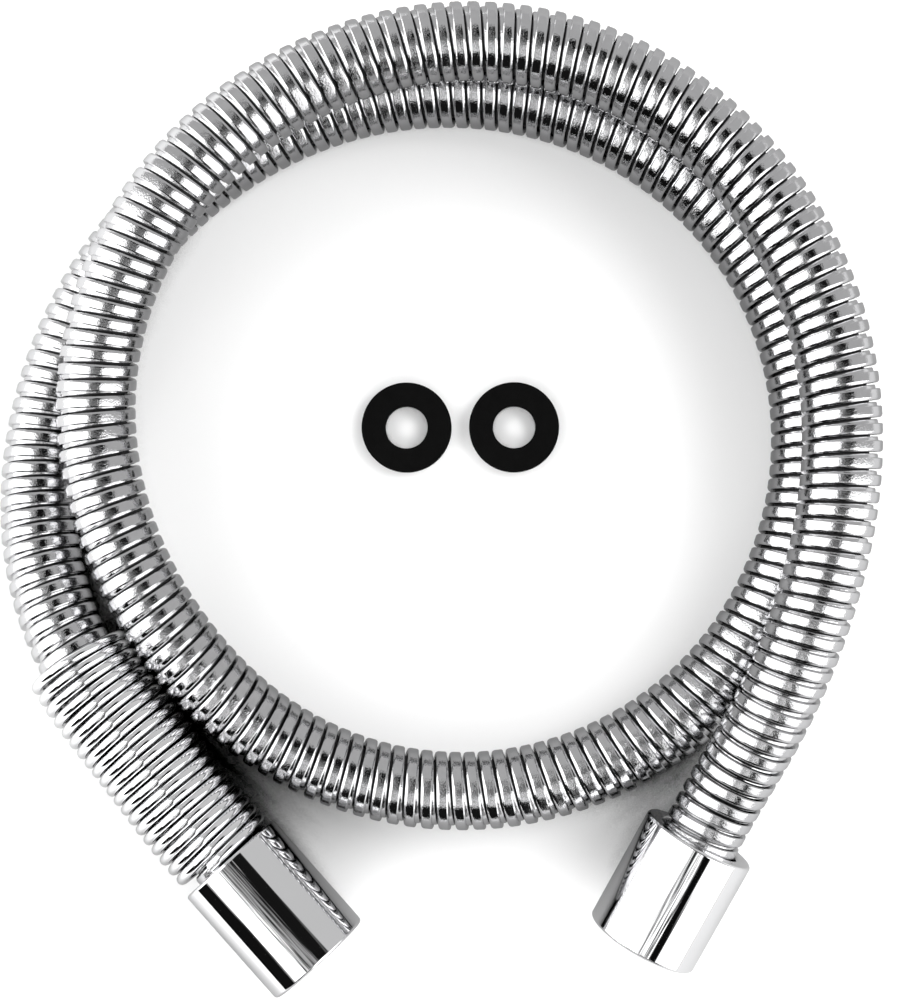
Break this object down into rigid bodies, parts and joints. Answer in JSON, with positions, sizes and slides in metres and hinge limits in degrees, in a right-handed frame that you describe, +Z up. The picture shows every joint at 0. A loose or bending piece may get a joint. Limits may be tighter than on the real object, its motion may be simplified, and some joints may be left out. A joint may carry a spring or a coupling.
{
  "type": "flexible metal hose of a handheld bath sprayer",
  "caption": "Coiled flexible chrome shower hose with a swivel nut at each end, a close-wound anti-kink spring and loose rubber sealing washers.",
  "frame": {"origin": "middle of the coiled hose's bounding box, on the table it lies on", "axes": "+Z up from the table; -Y towards the two nuts, with the spring end's nut at -X and the plain end's nut at +X"},
  "size_m": [0.1852, 0.2074, 0.0337],
  "materials": {
    "hose_chrome": "bright chrome-plated interlocked steel strip",
    "nut_chrome": "bright chrome plate over turned brass",
    "spring_steel": "polished plated spring wire",
    "collar_steel": "pressed stainless steel",
    "brass": "turned brass",
    "nylon": "natural nylon",
    "inner_tube_rubber": "smooth black rubber tube",
    "washer_rubber": "matt black moulded rubber"
  },
  "bodies": {
    "hose": {"armour_hose": "hose_chrome", "inner_tube": "inner_tube_rubber", "anti_kink_spring": "spring_steel", "plain_end_collar": "collar_steel", "plain_end_ferrule": "collar_steel", "plain_end_tail": "brass", "spring_end_slip_ring": "nylon", "spring_end_collar": "collar_steel", "spring_end_ferrule": "collar_steel", "spring_end_tail": "brass"},
    "plain_end_slider": {"plain_end_slip_ring": "nylon"},
    "plain_end_swivel": {"plain_end_nut": "nut_chrome"},
    "spring_end_swivel": {"spring_end_nut": "nut_chrome"},
    "left_washer": {"sealing_washer_left": "washer_rubber"},
    "right_washer": {"sealing_washer_right": "washer_rubber"}
  },
  "joints": [
    {"name": "plain_end_slide", "type": "slide", "parent": "hose", "child": "plain_end_slider", "axis": [0.4736, 0.8723, 0.1219], "range_m": [0, 0.003]},
    {"name": "plain_end_spin", "type": "hinge", "parent": "plain_end_slider", "child": "plain_end_swivel", "pos_m": [0.0558, -0.07, 0.0151], "axis": [-0.4736, -0.8723, -0.1219], "continuous": true},
    {"name": "spring_end_spin", "type": "hinge", "parent": "hose", "child": "spring_end_swivel", "pos_m": [-0.0428, -0.0749, 0.01205], "axis": [0.6691, -0.7431, 0], "continuous": true},
    {"name": "left_washer_lift", "type": "slide", "parent": "hose", "child": "left_washer", "axis": [0, 0, 1], "range_m": [0, 0.05]},
    {"name": "right_washer_lift", "type": "slide", "parent": "hose", "child": "right_washer", "axis": [0, 0, 1], "range_m": [0, 0.05]}
  ]
}
